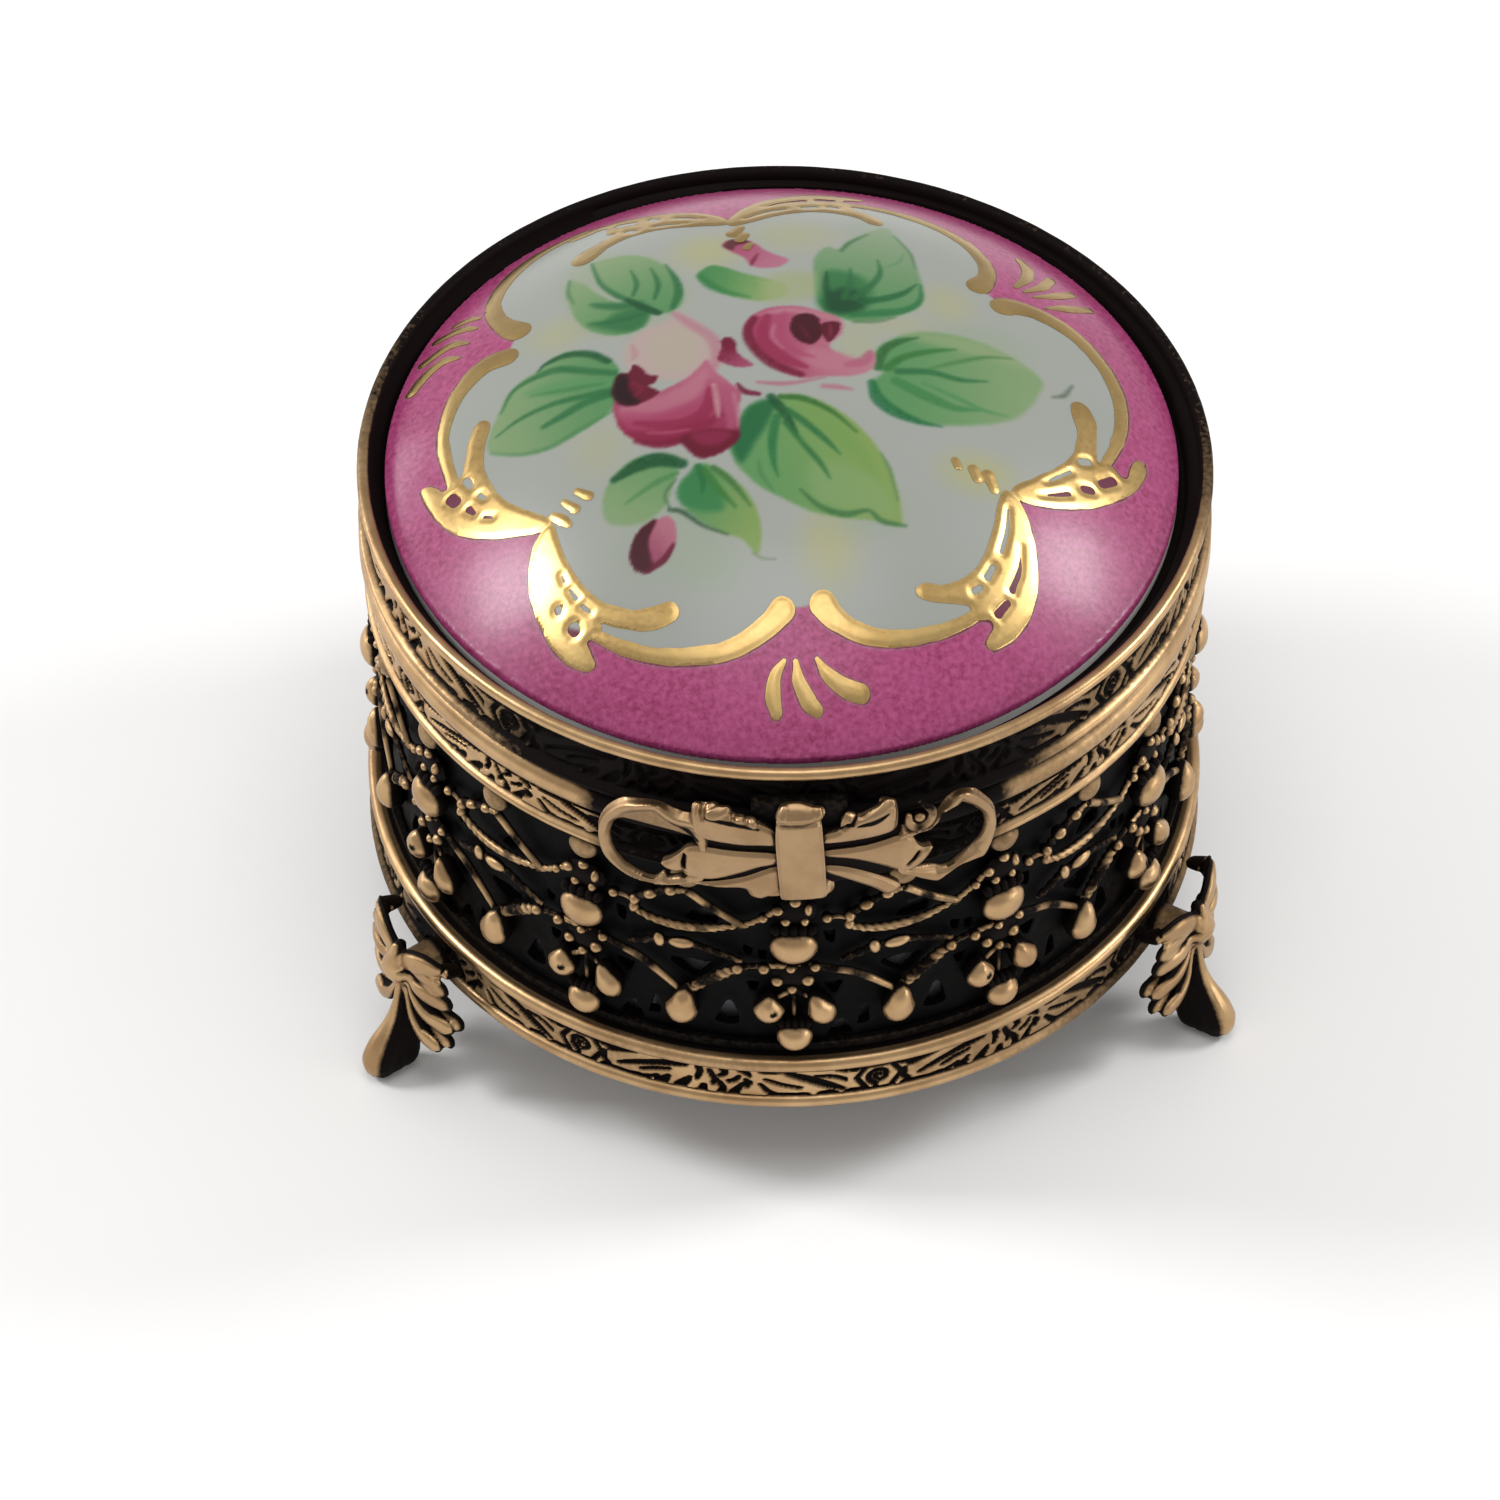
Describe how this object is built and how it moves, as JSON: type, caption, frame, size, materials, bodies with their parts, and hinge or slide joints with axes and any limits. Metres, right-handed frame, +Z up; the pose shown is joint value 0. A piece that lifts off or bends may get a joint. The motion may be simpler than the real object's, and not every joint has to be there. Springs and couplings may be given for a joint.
{
  "type": "powder jar",
  "caption": "Round footed vanity jar with a pierced filigree wall, a bow clasp and a hinged lid that holds a domed painted porcelain plaque.",
  "frame": {"origin": "on the table under the middle of the object's bounding box; the jar's own axis stands 2.2 mm from it, towards the bow", "axes": "+Z up, -Y towards the bow clasp, +Y towards the hinge, +X to the right of someone facing the bow"},
  "size_m": [0.067, 0.0726, 0.0555],
  "materials": {
    "antique_brass": "cast and antiqued, dark in the recesses and polished on the high spots",
    "blackened_brass": "blackened",
    "dark_liner": "satin dark grey lacquer",
    "painted_porcelain": "glossy glaze over hand painted flowers",
    "hinge_steel": "brass-toned wire"
  },
  "bodies": {
    "jar": {"base_band": "antique_brass", "base_plate": "blackened_brass", "liner_cup": "dark_liner", "wall_foot_ring": "antique_brass", "filigree_wall": "blackened_brass", "garland_wires": "antique_brass", "lattice_wires": "antique_brass", "leaf_pods": "antique_brass", "rose_buds": "antique_brass", "florets": "antique_brass", "berry_drops": "antique_brass", "collar_band": "antique_brass", "catch_stud": "antique_brass", "hinge_leaf_jar": "antique_brass", "hinge_pin": "hinge_steel", "foot_left": "antique_brass", "foot_right": "antique_brass", "foot_rear": "antique_brass"},
    "lid": {"lid_bezel": "antique_brass", "porcelain_dome": "painted_porcelain", "dome_keeper": "antique_brass", "lid_lip": "antique_brass", "clasp_tongue": "antique_brass", "bow_loops": "antique_brass", "bow_leaves": "antique_brass", "bow_knot": "antique_brass", "hinge_leaf_lid": "antique_brass"}
  },
  "joints": [
    {"name": "lid_hinge", "type": "hinge", "parent": "jar", "child": "lid", "pos_m": [-0.00067, 0.0314, 0.0408], "axis": [-1, 0, 0], "range_deg": [0, 105]}
  ]
}
